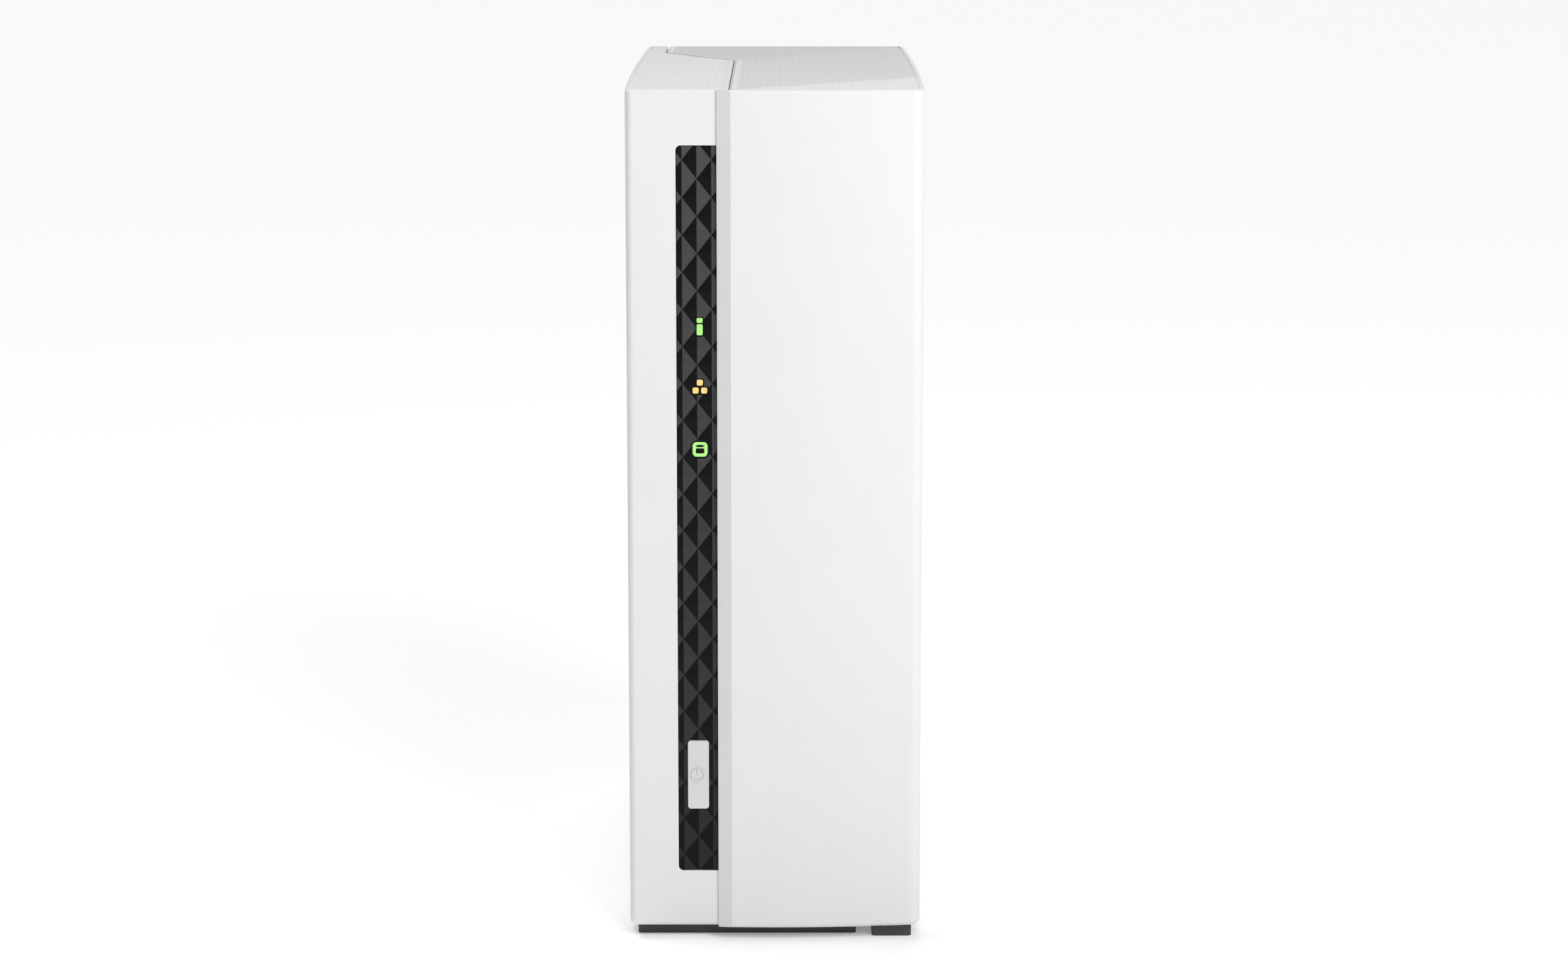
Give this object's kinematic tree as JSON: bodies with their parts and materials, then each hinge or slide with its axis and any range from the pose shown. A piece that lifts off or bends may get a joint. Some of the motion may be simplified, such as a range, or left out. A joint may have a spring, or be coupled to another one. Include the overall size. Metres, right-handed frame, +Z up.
{
  "type": "network attached storage",
  "caption": "Slim white network storage tower with a dark faceted front strip, lit status icons, power button, rear sockets and fan, and its inner drive and boards.",
  "frame": {"origin": "on the table, under the middle of the case's width and depth", "axes": "+Z up, +X to the right seen from the front, +Y to the back"},
  "size_m": [0.066, 0.1562, 0.1886],
  "materials": {
    "shell_plastic": "fine-grained matte white moulding",
    "strip_plastic": "gloss black with faceted diamonds",
    "button_plastic": "matte light grey",
    "green_light": "lit green light guide",
    "amber_light": "lit amber light guide",
    "foot_rubber": "matte dark grey rubber",
    "green_board": "green solder mask on glass epoxy board",
    "drive_board": "blue solder mask on glass epoxy board",
    "black_plastic": "black moulded plastic",
    "chip_plastic": "dark chip resin",
    "pale_plastic": "ivory moulded plastic",
    "blue_plastic": "blue moulded plastic",
    "plated_steel": "bright plated sheet metal",
    "bright_steel": "nickel-plated screw steel",
    "sheet_steel": "zinc-plated sheet steel",
    "cast_aluminium": "cast and machined aluminium",
    "platter_mirror": "polished platter",
    "copper": "enamelled copper winding",
    "cable_white": "white flat cable",
    "cable_black": "black sleeved lead"
  },
  "bodies": {
    "chassis": {"left_shell": "shell_plastic", "rear_panel": "shell_plastic", "front_strip": "strip_plastic", "status_light_guide": "green_light", "disk_light_guide": "green_light", "network_light_guide": "amber_light", "front_foot": "foot_rubber", "rear_foot": "foot_rubber", "main_board": "green_board", "front_board": "green_board", "riser_board": "green_board", "drive_circuit_board": "drive_board", "power_switch": "black_plastic", "reset_switch": "black_plastic", "riser_slot": "black_plastic", "drive_socket": "black_plastic", "drive_plug": "black_plastic", "power_inlet": "black_plastic", "fan_frame": "black_plastic", "buzzer": "black_plastic", "clock_cell_holder": "black_plastic", "usb_tongue_plain": "black_plastic", "processor": "chip_plastic", "memory_chips": "chip_plastic", "board_chips": "chip_plastic", "power_inductors": "chip_plastic", "cable_headers": "pale_plastic", "front_leds": "pale_plastic", "usb_tongue_fast": "blue_plastic", "usb_socket_shells": "plated_steel", "network_socket": "plated_steel", "board_capacitors": "plated_steel", "panel_screws": "bright_steel", "cover_screw": "bright_steel", "board_screws": "bright_steel", "bracket_screws": "bright_steel", "drive_screws": "bright_steel", "drive_lid_screws": "bright_steel", "fan_screws": "bright_steel", "clock_cell": "bright_steel", "drive_axle_posts": "bright_steel", "power_inlet_pin": "bright_steel", "drive_bracket": "sheet_steel", "drive_lid": "sheet_steel", "drive_magnet_yoke": "sheet_steel", "drive_base": "cast_aluminium", "heat_sink": "cast_aluminium", "front_cable": "cable_white", "fan_cable": "cable_black"},
    "cover": {"right_cover": "shell_plastic", "cover_feet": "foot_rubber"},
    "power_button": {"power_button": "button_plastic"},
    "switch_plunger": {"power_switch_plunger": "pale_plastic"},
    "reset_plunger": {"reset_plunger": "pale_plastic"},
    "fan_rotor": {"fan_rotor": "black_plastic"},
    "drive_spindle": {"drive_hub": "cast_aluminium", "drive_platters": "platter_mirror"},
    "drive_arm": {"drive_arm": "cast_aluminium", "drive_coil": "copper"}
  },
  "joints": [
    {"name": "cover_slide", "type": "slide", "parent": "chassis", "child": "cover", "axis": [1, 0, 0], "range_m": [0, 0.075]},
    {"name": "power_button_press", "type": "slide", "parent": "chassis", "child": "power_button", "axis": [0, 1, 0], "range_m": [0, 0.0006], "stiffness_N_per_m": 2500},
    {"name": "switch_press", "type": "slide", "parent": "chassis", "child": "switch_plunger", "axis": [0, 1, 0], "range_m": [0, 0.0006]},
    {"name": "reset_press", "type": "slide", "parent": "chassis", "child": "reset_plunger", "axis": [0, -1, 0], "range_m": [0, 0.0004], "stiffness_N_per_m": 2500},
    {"name": "fan_spin", "type": "hinge", "parent": "chassis", "child": "fan_rotor", "pos_m": [0.002, 0, 0.14], "axis": [0, 1, 0], "continuous": true},
    {"name": "drive_spin", "type": "hinge", "parent": "chassis", "child": "drive_spindle", "pos_m": [0, -0.0027, 0.1175], "axis": [1, 0, 0], "continuous": true},
    {"name": "drive_arm_swing", "type": "hinge", "parent": "chassis", "child": "drive_arm", "pos_m": [0, 0.0193, 0.0675], "axis": [1, 0, 0], "range_deg": [-34, 0]}
  ],
  "couplings": [
    {"joint": "switch_press", "follows": "power_button_press", "ratio": 1}
  ]
}
